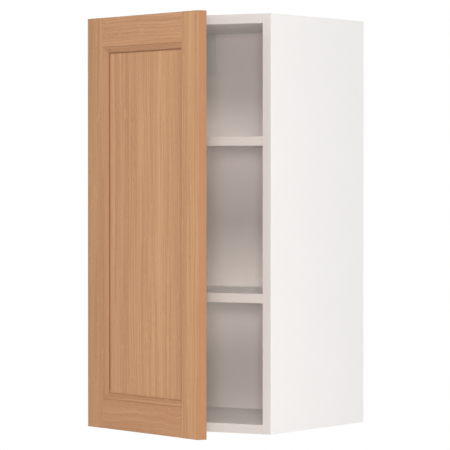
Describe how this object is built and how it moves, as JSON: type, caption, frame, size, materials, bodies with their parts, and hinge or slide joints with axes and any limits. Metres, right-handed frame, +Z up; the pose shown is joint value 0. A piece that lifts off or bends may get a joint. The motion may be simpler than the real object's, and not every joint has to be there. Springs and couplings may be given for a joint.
{
  "type": "hanging wall cabinet",
  "caption": "Wall-hung cupboard: white open carcass with shelves on pegs and one framed oak door standing ajar on concealed two-link hinges.",
  "frame": {"origin": "on the wall plane, at the middle of the top panel's rear edge, half-way up its thickness", "axes": "+X right seen from the front, +Y towards the wall, +Z up"},
  "size_m": [0.4021, 0.5611, 0.8],
  "materials": {
    "white_board": "smooth white foil on particleboard, satin",
    "oak": "clear-lacquered oak veneer, satin, open grain",
    "nickel_steel": "nickel-plated pressed steel",
    "zinc": "die-cast zinc, dull",
    "white_plastic": "moulded, fine matt",
    "clear_pad": "soft clear pad"
  },
  "bodies": {
    "carcass": {"back_panel": "white_board", "bottom_panel": "white_board", "cam_lock_bottom_left_front": "zinc", "cam_lock_bottom_left_rear": "zinc", "cam_lock_bottom_right_front": "zinc", "cam_lock_bottom_right_rear": "zinc", "cam_lock_top_left_front": "zinc", "cam_lock_top_left_rear": "zinc", "cam_lock_top_right_front": "zinc", "cam_lock_top_right_rear": "zinc", "hanging_bolt_left": "nickel_steel", "hanging_bolt_right": "nickel_steel", "hanging_bracket_left": "nickel_steel", "hanging_bracket_right": "nickel_steel", "hanging_cover_left": "white_plastic", "hanging_cover_right": "white_plastic", "hinge_arm_lower": "nickel_steel", "hinge_arm_pin_lower": "nickel_steel", "hinge_arm_pin_upper": "nickel_steel", "hinge_arm_screw_lower": "nickel_steel", "hinge_arm_screw_upper": "nickel_steel", "hinge_arm_upper": "nickel_steel", "hinge_plate_lower": "nickel_steel", "hinge_plate_screw_lower_high": "nickel_steel", "hinge_plate_screw_lower_low": "nickel_steel", "hinge_plate_screw_upper_high": "nickel_steel", "hinge_plate_screw_upper_low": "nickel_steel", "hinge_plate_upper": "nickel_steel", "shelf_lower": "white_board", "shelf_lower_peg_left_front": "white_plastic", "shelf_lower_peg_left_rear": "white_plastic", "shelf_lower_peg_right_front": "white_plastic", "shelf_lower_peg_right_rear": "white_plastic", "shelf_upper": "white_board", "shelf_upper_peg_left_front": "white_plastic", "shelf_upper_peg_left_rear": "white_plastic", "shelf_upper_peg_right_front": "white_plastic", "shelf_upper_peg_right_rear": "white_plastic", "side_panel_left": "white_board", "side_panel_right": "white_board", "top_panel": "white_board"},
    "hinge_links": {"hinge_link_lower": "nickel_steel", "hinge_link_upper": "nickel_steel"},
    "door": {"door_bumper_high": "clear_pad", "door_bumper_low": "clear_pad", "door_panel": "oak", "door_rail_bottom": "oak", "door_rail_top": "oak", "door_stile_free": "oak", "door_stile_hinge": "oak", "hinge_cup_lower": "nickel_steel", "hinge_cup_pin_lower": "nickel_steel", "hinge_cup_pin_upper": "nickel_steel", "hinge_cup_screw_lower_high": "nickel_steel", "hinge_cup_screw_lower_low": "nickel_steel", "hinge_cup_screw_upper_high": "nickel_steel", "hinge_cup_screw_upper_low": "nickel_steel", "hinge_cup_upper": "nickel_steel"}
  },
  "joints": [
    {"name": "link_swing", "type": "hinge", "parent": "carcass", "child": "hinge_links", "pos_m": [-0.1505, -0.3675, -0.391], "axis": [0, 0, -1], "range_deg": [-26.48, 8.22]},
    {"name": "door_swing", "type": "hinge", "parent": "hinge_links", "child": "door", "pos_m": [-0.18679, -0.38093, -0.391], "axis": [0, 0, -1], "range_deg": [-33.48, 110.62]}
  ],
  "couplings": [
    {"joint": "link_swing", "follows": "door_swing", "ratio": -0.23664}
  ]
}
